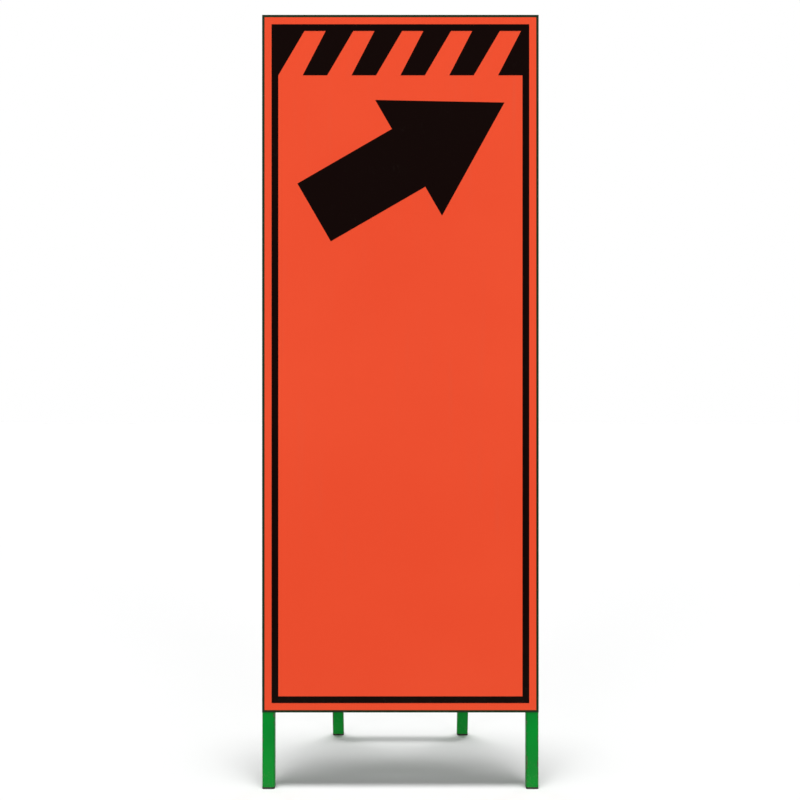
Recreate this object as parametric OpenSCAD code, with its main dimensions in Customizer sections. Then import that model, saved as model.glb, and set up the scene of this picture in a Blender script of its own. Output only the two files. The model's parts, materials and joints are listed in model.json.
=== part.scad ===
/* [Front frame] */
// Width of the front frame over the two posts
frame_w = 555; // [450:5:700]
// Height of the sign face, from the bottom rail to the top rail
face_h = 1400; // [1000:10:1700]
// Length of the posts below the face, which makes the front legs
post_leg_h = 150; // [100:5:250]
// Outer width of the square tube
tube_w = 25; // [22:1:32]
// Wall thickness of the square tube
tube_wall = 1.6; // [1.2:0.1:2.3]
// Outer corner radius of the square tube
tube_corner_r = 4; // [3:0.5:5]
// Height of the middle rail, as a share of the way from the bottom rail to the top rail
middle_rail_share = 0.335; // [0.25:0.005:0.45]
// Height of the hinge rail, as a share of the way from the bottom rail to the top rail
hinge_rail_share = 0.67; // [0.6:0.005:0.75]

/* [Panel] */
// Margin of the backing sheet left bare all round the sheeting
film_inset = 5; // [3:0.5:8]
// Thickness of the backing sheet
sheet_t = 0.8; // [0.6:0.1:1.6]
// Thickness of the orange sheeting
film_t = 0.4; // [0.2:0.05:0.6]
// Thickness of the black cut film
vinyl_t = 0.25; // [0.1:0.05:0.4]
// Number of rivets down each post
post_rivets = 8; // [4:1:12]
// Distance of a post's end rivets from the ends of the face
rivet_end = 50; // [35:5:100]
// Number of rivets along each rail
rail_rivets = 3; // [1:1:6]

/* [Rivets] */
// Shank radius of a rivet
rivet_r = 1.6; // [1.2:0.1:2]
// Head radius of a rivet
rivet_head_r = 3; // [2.5:0.1:3.5]
// Depth of the countersunk head
rivet_head_t = 0.6; // [0.4:0.05:0.6]
// Radius of the blind end of a rivet, inside the tube
rivet_blind_r = 2.6; // [2.2:0.1:3]
// Length of the blind end of a rivet
rivet_blind_l = 3.5; // [2.5:0.1:5]

/* [Black film] */
// Orange margin outside the border line
border_margin = 14; // [8:0.5:20]
// Width of the border line
border_line_w = 13.5; // [8:0.5:20]
// Height of the striped band along the top
stripe_band_h = 89; // [60:1:120]
// Number of orange stripes in the band
stripe_count = 5; // [3:1:8]
// Lean of an orange stripe's left edge from foot to top, as a share of the pitch
stripe_lean_share = 0.535; // [0.4:0.005:0.6]
// Width of an orange stripe at its top, as a share of the pitch
stripe_top_share = 0.435; // [0.35:0.005:0.55]
// Width of an orange stripe at its foot, as a share of the pitch
stripe_foot_share = 0.5; // [0.4:0.005:0.6]
// Length of the arrow's head, from base to tip
arrow_head_l = 222; // [160:1:250]
// Width of the arrow's head
arrow_head_w = 268; // [200:1:290]
// Length of the arrow's shaft
arrow_shaft_l = 219; // [150:1:230]
// Width of the arrow's shaft
arrow_shaft_w = 134; // [80:1:150]
// Slope of the arrow above the level
arrow_slope = 30; // [20:1:40]
// Sideways place of the middle of the arrow's head base
arrow_x = 16.5; // [0:0.5:30]
// Drop from the top edge of the sheeting to the middle of the arrow's head base
arrow_drop = 282; // [270:1:320]

/* [Rear frame] */
// Width of the rear frame over its two legs
rear_w = 314; // [260:2:400]
// Slope of the rear legs when open, from the upright
leg_angle = 19; // [15:0.5:22]
// Gap between the rails and the rear legs when folded
leg_gap = 12.5; // [11:0.5:18]
// Length of each rear leg above its pivot
leg_top_l = 22; // [20:0.5:26]
// Distance of the upper cross bar below the pivot, along the leg
upper_bar_drop = 150; // [110:5:300]
// Height of the lower cross bar above the ground, measured along the leg
lower_bar_rise = 233; // [180:1:400]

/* [Hinge bracket] */
// Plate thickness of the bracket
plate_t = 3; // [2:0.5:4]
// Outer radius of the bends of the bracket
bend_r = 4.5; // [4.2:0.1:6]
// Rise of the pivot above the middle of the hinge rail
pivot_rise = 12; // [6:0.5:16]
// Plate left round the pivot hole
ear_rim = 10; // [8:0.5:12]
// Distance of the stop bolt from the pivot
stop_r = 55; // [45:1:70]
// Plate left below the arc slot
slot_rim = 8; // [6:0.5:12]
// Thickness of the plastic spacer between leg and plate
spacer_t = 1.5; // [1:0.1:2.5]
// Outer radius of the plastic spacer
spacer_r = 10; // [8:0.5:12]
// Side gap between spacer and plate
side_gap = 0.3; // [0.2:0.05:0.6]

/* [Bolts] */
// Shank radius of the pivot bolt
pivot_r = 5; // [4:0.5:6]
// Width across flats of the pivot bolt and its nut
pivot_flats = 17; // [15:0.5:19]
// Head thickness of the pivot bolt
pivot_head_t = 6.4; // [5:0.2:8]
// Shank radius of the stop bolt
stop_bolt_r = 4; // [3:0.5:5]
// Width across flats of the stop bolt and its nut
stop_flats = 13; // [11:0.5:15]
// Head thickness of the stop bolt
stop_head_t = 5.3; // [4:0.1:6]
// Washer thickness
washer_t = 1.6; // [1:0.1:2.5]
// Width of a washer's ring, from the shank to its edge
washer_ring = 4.5; // [3.5:0.1:6]
// Thickness of the nuts, without the locking collar
nut_t = 6.5; // [5:0.1:8]
// Height of a nut's locking collar
collar_t = 2.8; // [2:0.1:3.5]
// Length of bolt that shows past its nut
bolt_tail = 2.5; // [1:0.1:4]
// Wall of the bush and of the sleeve
bush_wall = 1.95; // [1.5:0.05:2.5]

/* [Feet and plugs] */
// Thickness of the foot under a front leg
foot_t = 4; // [3:0.5:8]
// Depth of the ribbed insert of a foot
foot_insert_l = 20; // [15:0.5:30]
// Thickness of the head of a leg plug
plug_t = 2; // [1.5:0.1:3]
// Depth of the ribbed insert of a leg plug
plug_insert_l = 11; // [8:0.5:12]
// Thickness of one rib of an insert
rib_t = 1.2; // [1:0.1:1.6]
// Pitch of the ribs of an insert
rib_pitch = 3.5; // [3:0.1:5]
// Depth of the ribs of an insert
rib_depth = 1.6; // [1:0.1:2.5]

/* [Fits] */
// Clearance between a plug's ribs and the tube
insert_fit = 0.1; // [0.05:0.01:0.2]
// Clearance of a pin in a hole that holds it
hole_fit = 0.05; // [0.03:0.01:0.1]
// Running clearance of the pivot bolt in its bush
running_fit = 0.06; // [0.04:0.01:0.1]
// Clearance of the stop bolt in the arc slot
slot_fit = 0.3; // [0.2:0.05:0.5]

/* [Hidden] */
$fn = 64;

// Overrun of every cut
over = 1;

// Colours of the finishes
green = [0.01, 0.54, 0.17];
dark_green = [0.07, 0.19, 0.08];
zinc = [0.72, 0.74, 0.76];
orange = [0.91, 0.3, 0.17];
black = [0.09, 0.05, 0.04];
nylon = [0.9, 0.9, 0.86];

// Tube
half_tube = tube_w / 2;
bore_w = tube_w - 2 * tube_wall;
bore_corner_r = tube_corner_r - tube_wall;

// Heights of the front frame above the ground
face_bottom = foot_t + post_leg_h;
frame_top = face_bottom + face_h;
bottom_rail_z = face_bottom + half_tube;
top_rail_z = frame_top - half_tube;
rail_span = top_rail_z - bottom_rail_z;
middle_rail_z = bottom_rail_z + rail_span * middle_rail_share;
hinge_rail_z = bottom_rail_z + rail_span * hinge_rail_share;

// Widths of the front frame
half_w = frame_w / 2;
post_x = half_w - half_tube;
inner_half_w = half_w - tube_w;

// Panel
film_half_w = half_w - film_inset;
film_low = face_bottom + film_inset;
film_top = frame_top - film_inset;
film_y = -sheet_t - film_t;
vinyl_y = film_y - vinyl_t;

// Border line and stripes
border_half_w = film_half_w - border_margin;
border_low = film_low + border_margin;
border_high = film_top - border_margin;
field_half_w = border_half_w - border_line_w;
field_low = border_low + border_line_w;
field_high = border_high - border_line_w;
stripe_pitch = 2 * field_half_w / stripe_count;
stripe_lean = stripe_pitch * stripe_lean_share;
stripe_top = stripe_pitch * stripe_top_share;
stripe_foot = stripe_pitch * stripe_foot_share;
stripe_low = field_high - stripe_band_h;

// Hinge
pivot_y = tube_w + leg_gap + half_tube;
pivot_z = hinge_rail_z + pivot_rise;
leg_x = rear_w / 2 - half_tube;
ear_in = half_tube + spacer_t + side_gap;
ear_out = ear_in + plate_t;
ear_r = pivot_r + ear_rim;
slot_half_w = stop_bolt_r + slot_fit;
quadrant_r = stop_r + slot_half_w + slot_rim;
web_y = tube_w - pivot_y;

// Rear legs, measured down from the pivot along the leg
ground_l = pivot_z / cos(leg_angle);
leg_end_l = ground_l - (foot_t + half_tube * sin(leg_angle)) / cos(leg_angle);

// Bush, sleeve and fasteners
bush_bore_r = pivot_r + running_fit;
bush_r = bush_bore_r + bush_wall;
sleeve_bore_r = stop_bolt_r + hole_fit;
sleeve_r = sleeve_bore_r + bush_wall;
pivot_seat = ear_out + washer_t;
stop_seat = ear_out + side_gap + washer_t;
chamfer_rim_share = 0.95;
collar_share = 0.92;

// The whole stands with its origin on the ground, midway between its front and its back
back_y = pivot_y + pivot_z * tan(leg_angle) + half_tube / cos(leg_angle);
mid_y = (back_y + vinyl_y) / 2;

module standing() {
    translate([0, -mid_y, 0])
        children();
}

// Puts a piece drawn about the pivot, with its leg hanging straight down, into its open place
module leaned() {
    translate([0, pivot_y, pivot_z])
        rotate([leg_angle, 0, 0])
            children();
}

module on_both_sides() {
    for (side = [-1, 1])
        mirror([side < 0 ? 1 : 0, 0, 0])
            translate([leg_x, 0, 0])
                children();
}

module rounded_square(w, r) {
    square([w, w - 2 * r], center = true);
    square([w - 2 * r, w], center = true);
    for (x = [-1, 1], y = [-1, 1])
        translate([x * (w / 2 - r), y * (w / 2 - r)])
            circle(r = r);
}

// Square tube along Z, from z = 0 up to its length
module tube(length) {
    difference() {
        linear_extrude(length)
            rounded_square(tube_w, tube_corner_r);
        translate([0, 0, -over])
            linear_extrude(length + 2 * over)
                rounded_square(bore_w, bore_corner_r);
    }
}

// Square tube along X, centred on x = 0
module cross_tube(length) {
    rotate([0, 90, 0])
        translate([0, 0, -length / 2])
            tube(length);
}

// Plate drawn as its outline seen from the front, from y to y + t
module face_plate(y, t) {
    translate([0, y + t, 0])
        rotate([90, 0, 0])
            linear_extrude(t)
                children();
}

// The end rivets of a post stand clear of its corners
function post_rivet_z(i) = face_bottom + rivet_end + (face_h - 2 * rivet_end) * i / (post_rivets - 1);
function rail_rivet_x(i) = inner_half_w * ((2 * i + 1) / rail_rivets - 1);

module at_post_rivets(side) {
    for (i = [0 : post_rivets - 1])
        translate([side * post_x, 0, post_rivet_z(i)])
            children();
}

module at_rail_rivets(z) {
    for (i = [0 : rail_rivets - 1])
        translate([rail_rivet_x(i), 0, z])
            children();
}

module at_all_rivets() {
    for (side = [-1, 1])
        at_post_rivets(side)
            children();
    for (z = [bottom_rail_z, middle_rail_z, hinge_rail_z, top_rail_z])
        at_rail_rivets(z)
            children();
}

// Hole for a rivet in the front wall of a tube
module rivet_hole() {
    translate([0, -over, 0])
        rotate([-90, 0, 0])
            cylinder(r = rivet_r + hole_fit, h = tube_wall + 2 * over);
}

// Countersunk hole for a rivet in the sheet, whose front is at y = -sheet_t
module sheet_rivet_hole() {
    translate([0, -sheet_t, 0])
        rotate([-90, 0, 0])
            rotate_extrude()
                polygon([
                    [0, -over],
                    [rivet_head_r + hole_fit, -over],
                    [rivet_head_r + hole_fit, 0],
                    [rivet_r + hole_fit, rivet_head_t],
                    [rivet_r + hole_fit, sheet_t + over],
                    [0, sheet_t + over]
                ]);
}

module rivet() {
    grip = sheet_t + tube_wall;
    translate([0, -sheet_t, 0])
        rotate([-90, 0, 0])
            rotate_extrude()
                polygon([
                    [0, 0],
                    [rivet_head_r, 0],
                    [rivet_r, rivet_head_t],
                    [rivet_r, grip],
                    [rivet_blind_r, grip + rivet_blind_l / 4],
                    [rivet_blind_r, grip + rivet_blind_l * 3 / 4],
                    [rivet_r, grip + rivet_blind_l],
                    [0, grip + rivet_blind_l]
                ]);
}

// The post runs from its foot to the mitre at the top corner
module post(side) {
    color(green)
        difference() {
            intersection() {
                translate([side * post_x, half_tube, foot_t])
                    tube(frame_top + over - foot_t);
                face_plate(-over, tube_w + 2 * over)
                    scale([side, 1])
                        polygon([
                            [inner_half_w - over, 0],
                            [half_w + over, 0],
                            [half_w + over, frame_top + over],
                            [inner_half_w - over, frame_top - tube_w - over]
                        ]);
            }
            at_post_rivets(side)
                rivet_hole();
        }
}

module left_post() {
    post(-1);
}

module right_post() {
    post(1);
}

module top_rail() {
    color(green)
        difference() {
            intersection() {
                translate([0, half_tube, top_rail_z])
                    cross_tube(frame_w + 2 * over);
                face_plate(-over, tube_w + 2 * over)
                    polygon([
                        [-half_w - over, frame_top + over],
                        [half_w + over, frame_top + over],
                        [inner_half_w - over, frame_top - tube_w - over],
                        [over - inner_half_w, frame_top - tube_w - over]
                    ]);
            }
            at_rail_rivets(top_rail_z)
                rivet_hole();
        }
}

// A rail between the posts, welded to their flat inner sides
module inner_rail(z) {
    color(green)
        difference() {
            translate([0, half_tube, z])
                cross_tube(2 * inner_half_w);
            at_rail_rivets(z)
                rivet_hole();
        }
}

module hinge_rail() {
    inner_rail(hinge_rail_z);
}

module middle_rail() {
    inner_rail(middle_rail_z);
}

module bottom_rail() {
    inner_rail(bottom_rail_z);
}

module panel_sheet() {
    color(dark_green)
        difference() {
            face_plate(-sheet_t, sheet_t)
                translate([-half_w, face_bottom])
                    square([frame_w, face_h]);
            at_all_rivets()
                sheet_rivet_hole();
        }
}

module panel_rivets() {
    color(zinc)
        at_all_rivets()
            rivet();
}

module orange_sheeting() {
    color(orange)
        face_plate(film_y, film_t)
            translate([-film_half_w, film_low])
                square([2 * film_half_w, film_top - film_low]);
}

// Four strips of black film that butt at the corners
module border_line() {
    color(black)
        face_plate(vinyl_y, vinyl_t) {
            for (z = [border_low, field_high])
                translate([-border_half_w, z])
                    square([2 * border_half_w, border_line_w]);
            for (x = [-border_half_w, field_half_w])
                translate([x, field_low])
                    square([border_line_w, field_high - field_low]);
        }
}

// A place across the field, kept between its two sides
function in_field(x) = min(max(x, -field_half_w), field_half_w);

// Black film between the orange stripes, each piece leaning right at its top
module hazard_stripes() {
    color(black)
        face_plate(vinyl_y, vinyl_t)
            for (i = [0 : stripe_count]) {
                x = i * stripe_pitch - field_half_w;
                last_x = x - stripe_pitch;
                polygon([
                    [in_field(last_x + stripe_foot), stripe_low],
                    [x, stripe_low],
                    [in_field(x + stripe_lean), field_high],
                    [in_field(last_x + stripe_lean + stripe_top), field_high]
                ]);
            }
}

module direction_arrow() {
    color(black)
        face_plate(vinyl_y, vinyl_t)
            translate([arrow_x, film_top - arrow_drop])
                rotate(arrow_slope)
                    polygon([
                        [arrow_head_l, 0],
                        [0, arrow_head_w / 2],
                        [0, arrow_shaft_w / 2],
                        [-arrow_shaft_l, arrow_shaft_w / 2],
                        [-arrow_shaft_l, -arrow_shaft_w / 2],
                        [0, -arrow_shaft_w / 2],
                        [0, -arrow_head_w / 2]
                    ]);
}

// Ribbed insert that grips inside a tube, from z = 0 up to its length
module insert(length) {
    core_w = bore_w - 2 * insert_fit - 2 * rib_depth;
    linear_extrude(length)
        square([core_w, core_w], center = true);
    for (z = [rib_pitch / 2 : rib_pitch : length - rib_t])
        translate([0, 0, z])
            linear_extrude(rib_t)
                rounded_square(bore_w - 2 * insert_fit, bore_corner_r);
}

module front_foot(side) {
    color(black)
        translate([side * post_x, half_tube, 0]) {
            linear_extrude(foot_t)
                rounded_square(tube_w, tube_corner_r);
            translate([0, 0, foot_t])
                insert(foot_insert_l);
        }
}

module left_front_foot() {
    front_foot(-1);
}

module right_front_foot() {
    front_foot(1);
}

// Side outline of the bracket about the pivot: x points back and y points up
module quadrant_outline() {
    back = [ear_r * cos(leg_angle), ear_r * sin(leg_angle)];
    down = [quadrant_r * sin(leg_angle), -quadrant_r * cos(leg_angle)];
    circle(r = ear_r);
    intersection() {
        circle(r = quadrant_r);
        polygon([
            [web_y, ear_r],
            [0, ear_r],
            back,
            back + down,
            [web_y, -quadrant_r]
        ]);
    }
}

// Arc slot for the stop bolt, concentric with the pivot, from folded to open
module slot_outline() {
    reach = 2 * stop_r;
    intersection() {
        difference() {
            circle(r = stop_r + slot_half_w);
            circle(r = stop_r - slot_half_w);
        }
        polygon([
            [0, 0],
            [0, -reach],
            [reach * sin(leg_angle), -reach * cos(leg_angle)]
        ]);
    }
    for (a = [0, leg_angle])
        rotate(a)
            translate([0, -stop_r])
                circle(r = slot_half_w);
}

// Turns a side outline into a plate of the given width, centred on x = 0
module side_plate(w) {
    translate([-w / 2, 0, 0])
        rotate([90, 0, 90])
            linear_extrude(w)
                children();
}

// Bent plate seen from above: a web against the rail and an ear on each side of the leg
module channel_section() {
    depth = 2 * quadrant_r;
    difference() {
        union() {
            translate([bend_r - ear_out, web_y])
                square([2 * (ear_out - bend_r), depth]);
            translate([-ear_out, web_y + bend_r])
                square([2 * ear_out, depth - bend_r]);
            for (x = [-1, 1])
                translate([x * (ear_out - bend_r), web_y + bend_r])
                    circle(r = bend_r);
        }
        translate([bend_r - ear_out, web_y + plate_t])
            square([2 * (ear_out - bend_r), depth]);
        translate([-ear_in, web_y + bend_r])
            square([2 * ear_in, depth]);
        for (x = [-1, 1])
            translate([x * (ear_out - bend_r), web_y + bend_r])
                circle(r = bend_r - plate_t);
    }
}

module hinge_bracket(side) {
    color(green)
        translate([side * leg_x, pivot_y, pivot_z])
            difference() {
                intersection() {
                    translate([0, 0, -quadrant_r - over])
                        linear_extrude(2 * quadrant_r + 2 * over)
                            channel_section();
                    side_plate(2 * ear_out + 2 * over)
                        quadrant_outline();
                }
                side_plate(2 * ear_out + 2 * over) {
                    circle(r = pivot_r + hole_fit);
                    slot_outline();
                }
            }
}

module left_hinge_bracket() {
    hinge_bracket(-1);
}

module right_hinge_bracket() {
    hinge_bracket(1);
}

// Hexagon along X with its outer corners chamfered, from x = 0 up to its thickness
module hexagon(flats, t) {
    rim_r = flats / 2 * chamfer_rim_share;
    rotate([0, 90, 0])
        intersection() {
            cylinder(r = flats / 2 / cos(30), h = t, $fn = 6);
            cylinder(r1 = rim_r + t / tan(30), r2 = rim_r, h = t);
        }
}

module rod(r, length) {
    rotate([0, 90, 0])
        cylinder(r = r, h = length);
}

module ring(r, bore_r, length) {
    difference() {
        rod(r, length);
        translate([-over, 0, 0])
            rod(bore_r, length + 2 * over);
    }
}

// Bolt from its head on the outer side to its tail on the inner side, where seat is the head's seat
module bolt(r, flats, head_t, seat) {
    tail = seat + nut_t + collar_t + bolt_tail;
    translate([seat, 0, 0])
        hexagon(flats, head_t);
    translate([-tail, 0, 0])
        rod(r, tail + seat);
}

module lock_nut(r, flats, seat) {
    collar_r = flats / 2 * collar_share;
    translate([-seat, 0, 0])
        mirror([1, 0, 0])
            difference() {
                union() {
                    hexagon(flats, nut_t);
                    translate([nut_t / 2, 0, 0])
                        rod(collar_r, nut_t / 2 + collar_t);
                }
                translate([-over, 0, 0])
                    rod(r + hole_fit, nut_t + collar_t + 2 * over);
            }
}

module at_pivots() {
    translate([0, pivot_y, pivot_z])
        on_both_sides()
            children();
}

module at_stops() {
    leaned()
        translate([0, 0, -stop_r])
            on_both_sides()
                children();
}

module pivot_bolts() {
    color(zinc)
        at_pivots()
            bolt(pivot_r, pivot_flats, pivot_head_t, pivot_seat);
}

module pivot_nuts() {
    color(zinc)
        at_pivots()
            lock_nut(pivot_r, pivot_flats, pivot_seat);
}

module pivot_washers() {
    color(zinc)
        at_pivots()
            for (x = [ear_out, -pivot_seat])
                translate([x, 0, 0])
                    ring(pivot_r + washer_ring, pivot_r + hole_fit, washer_t);
}

module stop_bolts() {
    color(zinc)
        at_stops()
            bolt(stop_bolt_r, stop_flats, stop_head_t, stop_seat);
}

module stop_nuts() {
    color(zinc)
        at_stops()
            lock_nut(stop_bolt_r, stop_flats, stop_seat);
}

module stop_washers() {
    color(zinc)
        at_stops()
            for (x = [ear_out + side_gap, -stop_seat])
                translate([x, 0, 0])
                    ring(stop_bolt_r + washer_ring, stop_bolt_r + hole_fit, washer_t);
}

module pivot_bushes() {
    color(zinc)
        at_pivots()
            translate([-half_tube, 0, 0])
                ring(bush_r, bush_bore_r, tube_w);
}

module stop_sleeves() {
    color(zinc)
        at_stops()
            translate([-half_tube, 0, 0])
                ring(sleeve_r, sleeve_bore_r, tube_w);
}

module hinge_spacers() {
    color(nylon)
        at_pivots()
            for (x = [half_tube, -half_tube - spacer_t])
                translate([x, 0, 0])
                    ring(spacer_r, pivot_r + side_gap, spacer_t);
}

module rear_leg(side) {
    color(green)
        leaned()
            translate([side * leg_x, 0, 0])
                difference() {
                    translate([0, 0, -leg_end_l])
                        tube(leg_end_l + leg_top_l);
                    translate([-tube_w, 0, 0])
                        rod(bush_r + hole_fit, 2 * tube_w);
                    translate([-tube_w, 0, -stop_r])
                        rod(sleeve_r + hole_fit, 2 * tube_w);
                }
}

module left_rear_leg() {
    rear_leg(-1);
}

module right_rear_leg() {
    rear_leg(1);
}

// Bar between the legs, at its distance below the pivot
module cross_bar(drop) {
    color(green)
        leaned()
            translate([0, 0, -drop])
                cross_tube(rear_w - 2 * tube_w);
}

module upper_cross_bar() {
    cross_bar(upper_bar_drop);
}

module lower_cross_bar() {
    cross_bar(ground_l - lower_bar_rise);
}

// Foot with a wedge sole that lies flat on the ground when the leg is open
module rear_foot(side) {
    wedge_l = ground_l - leg_end_l + tube_w;
    color(black)
        difference() {
            leaned()
                translate([side * leg_x, 0, -leg_end_l]) {
                    translate([0, 0, -wedge_l])
                        linear_extrude(wedge_l)
                            rounded_square(tube_w, tube_corner_r);
                    insert(foot_insert_l);
                }
            translate([-frame_w, 0, -3 * tube_w])
                cube([2 * frame_w, 2 * pivot_z, 3 * tube_w]);
        }
}

module left_rear_foot() {
    rear_foot(-1);
}

module right_rear_foot() {
    rear_foot(1);
}

module leg_plug(side) {
    color(black)
        leaned()
            translate([side * leg_x, 0, leg_top_l]) {
                linear_extrude(plug_t)
                    rounded_square(tube_w, tube_corner_r);
                translate([0, 0, -plug_insert_l])
                    insert(plug_insert_l);
            }
}

module left_leg_plug() {
    leg_plug(-1);
}

module right_leg_plug() {
    leg_plug(1);
}

standing() left_post();
standing() right_post();
standing() top_rail();
standing() hinge_rail();
standing() middle_rail();
standing() bottom_rail();
standing() panel_sheet();
standing() panel_rivets();
standing() orange_sheeting();
standing() border_line();
standing() hazard_stripes();
standing() direction_arrow();
standing() left_front_foot();
standing() right_front_foot();
standing() left_hinge_bracket();
standing() right_hinge_bracket();
standing() pivot_bolts();
standing() pivot_nuts();
standing() pivot_washers();
standing() left_rear_leg();
standing() right_rear_leg();
standing() upper_cross_bar();
standing() lower_cross_bar();
standing() left_rear_foot();
standing() right_rear_foot();
standing() left_leg_plug();
standing() right_leg_plug();
standing() pivot_bushes();
standing() hinge_spacers();
standing() stop_sleeves();
standing() stop_bolts();
standing() stop_nuts();
standing() stop_washers();
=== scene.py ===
"""Looks of a folding roadside sign on a green tube frame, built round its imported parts.

Everything is in metres: +X to the reader's right, +Y from the face to the rear legs, +Z up.
"""
import json
import math

import bpy
from mathutils import Euler, Matrix, Vector


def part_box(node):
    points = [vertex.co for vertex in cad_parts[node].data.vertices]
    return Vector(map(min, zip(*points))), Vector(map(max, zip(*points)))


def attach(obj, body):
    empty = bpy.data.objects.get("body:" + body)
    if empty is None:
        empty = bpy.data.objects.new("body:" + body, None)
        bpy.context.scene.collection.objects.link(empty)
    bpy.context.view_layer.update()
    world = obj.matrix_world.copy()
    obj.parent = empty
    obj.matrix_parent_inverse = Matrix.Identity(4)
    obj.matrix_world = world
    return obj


# Where the photograph was taken from, and how wide it sees at the face
view_distance = 2.59
view_width = 1.6051
view_height = 0.7811
view_side = -0.0008
sensor_width = 36.0

# The floor, how far the camera looks over it, and the light that the air gives from all round
floor_half = 40.0
view_reach = 4 * floor_half
air_strength = 0.23

# Turns of what is drawn upright: left as it is, or laid along X
upright = Euler((0, 0, 0))
level = Euler((0, math.radians(90), 0))

# The tubes' round corners, the band of wear on them, and the washers that rub the brackets
tube_corner_r = 0.004
wear_band = 0.0011
washer_r = 0.0085

# How high the road splashes the frame, the face, the backing sheet and the feet
frame_splash_top = 0.13
face_splash_top = 0.42
backing_splash_top = 0.5
foot_splash_top = 0.03

# Size of the cells in the retroreflective sheeting
cell_size = 0.0036

# Weld beads: their section, and how they lie off flat metal, in grooves and on the mitres
bead_r = 0.0021
bead_sides = 8
bead_lift = 0.0004
groove_dip = 0.0010
bend_groove = 0.0013
mitre_sink = 0.35 * bead_r
arc_steps = 4

# What the welder's hand leaves in a bead: ripples, an uneven width and thin ends
bead_ripple = 0.0013
ripple_depth = 0.22
ripple_steps = 4.0
unsteady_scale = 160.0
thin_end = 0.5
weld_seed = 3.0

# Threads at the tails of the bolts
pivot_thread_pitch = 0.0015
stop_thread_pitch = 0.00125
thread_depth = 0.00045
thread_inset = 0.0006
thread_sides = 4
thread_turn_steps = 40
tail_margin = 0.00001

# Where places start, the value that noise swings round, and a socket's kind for each kind of value
origin = (0, 0, 0)
noise_middle = 0.5
socket_kinds = {tuple: "NodeSocketVector", float: "NodeSocketFloat", int: "NodeSocketInt"}

# Places of the sockets that a Mix node uses for colours
mix_share = 0
mix_first = 6
mix_second = 7
mix_colour = 2


def shown(red, green, blue):
    """A colour as a screen shows it, from 0 to 255, turned into the light it stands for."""
    def linear(value):
        share = value / 255
        return share / 12.92 if share <= 0.04045 else ((share + 0.055) / 1.055) ** 2.4
    return (linear(red), linear(green), linear(blue), 1.0)


# Colours of the finishes
green_paint = shown(2, 145, 45)
green_paint_dull = shown(2, 127, 42)
weld_green = shown(3, 122, 40)
weld_green_dull = shown(4, 98, 35)
bare_steel = shown(98, 96, 92)
rust_brown = shown(78, 46, 26)
dark_green_paint = shown(8, 36, 13)
dark_green_faded = shown(13, 44, 18)
roller_line_green = shown(6, 28, 10)
sheeting_orange = shown(234, 76, 43)
sheeting_faded = shown(237, 80, 46)
cell_wall_orange = shown(224, 66, 34)
film_black = shown(12, 2, 1)
film_faded = shown(18, 11, 9)
film_rubbed = shown(48, 40, 36)
plastic_black = shown(20, 20, 20)
plastic_scuffed = shown(74, 72, 69)
zinc_bright = shown(206, 208, 210)
zinc_warm = shown(205, 198, 172)
zinc_clouded = shown(150, 153, 156)
nylon_white = shown(228, 224, 206)
nylon_greasy = shown(150, 140, 112)
road_dust = shown(132, 124, 110)
floor_white = shown(235, 235, 235)
floor_dim = shown(150, 150, 150)
studio_white = shown(255, 255, 255)


# Wiring of nodes

def put(tree, kind, **settings):
    """Adds a node with the given properties."""
    node = tree.nodes.new(kind)
    for key, value in settings.items():
        setattr(node, key, value)
    return node


def feed(tree, socket, value):
    """Links an output to a socket, or sets the socket to a plain value."""
    if isinstance(value, bpy.types.NodeSocket):
        tree.links.new(value, socket)
    else:
        socket.default_value = value


def put_and_feed(tree, kind, value):
    """Adds a node with the value in its first socket."""
    node = put(tree, kind)
    feed(tree, node.inputs[0], value)
    return node


def calc(tree, operation, *values):
    """Arithmetic on numbers."""
    node = put(tree, "ShaderNodeMath", operation=operation)
    for socket, value in zip(node.inputs, values):
        feed(tree, socket, value)
    return node.outputs["Value"]


def calc_vector(tree, operation, first, second):
    """Arithmetic on two places or directions."""
    node = put(tree, "ShaderNodeVectorMath", operation=operation)
    feed(tree, node.inputs[0], first)
    feed(tree, node.inputs[1], second)
    return node.outputs["Value" if operation == "DOT_PRODUCT" else "Vector"]


def split(tree, place):
    """The X, Y and Z of a place or direction."""
    return put_and_feed(tree, "ShaderNodeSeparateXYZ", place).outputs


def facing(tree):
    """The X, Y and Z of the way in which the surface faces."""
    return split(tree, put(tree, "ShaderNodeNewGeometry").outputs["Normal"])


def soft_step(tree, value, low, high):
    """Rises smoothly from 0 at low to 1 at high."""
    node = put(tree, "ShaderNodeMapRange", interpolation_type="SMOOTHSTEP")
    feed(tree, node.inputs["Value"], value)
    feed(tree, node.inputs["From Min"], low)
    feed(tree, node.inputs["From Max"], high)
    return node.outputs["Result"]


def soft_edge(tree, value, start, width):
    """Rises smoothly from 0 at the start to 1 a width past it."""
    return soft_step(tree, value, start, calc(tree, "ADD", start, width))


def between(tree, value, low, high):
    """Goes straight from low where the value is 0 to high where it is 1."""
    node = put(tree, "ShaderNodeMapRange")
    feed(tree, node.inputs["Value"], value)
    feed(tree, node.inputs["To Min"], low)
    feed(tree, node.inputs["To Max"], high)
    return node.outputs["Result"]


def apart(tree, first, second):
    """How far apart two numbers are."""
    return calc(tree, "ABSOLUTE", calc(tree, "SUBTRACT", first, second))


def opposite(tree, mask):
    """1 where the mask is 0, and 0 where it is 1."""
    return calc(tree, "SUBTRACT", 1.0, mask)


def weaker(tree, mask, share):
    """The mask at a share of its strength."""
    return calc(tree, "MULTIPLY", mask, share)


def raised(tree, value, mask, by):
    """The value, raised by a number where the mask is 1."""
    return calc(tree, "MULTIPLY_ADD", mask, by, value)


def either(tree, first, second):
    """The stronger of two masks."""
    return calc(tree, "MAXIMUM", first, second)


def all_of(tree, mask, *others):
    """Masks multiplied, so that the result is 1 only where each of them is."""
    for other in others:
        mask = calc(tree, "MULTIPLY", mask, other)
    return mask


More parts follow.
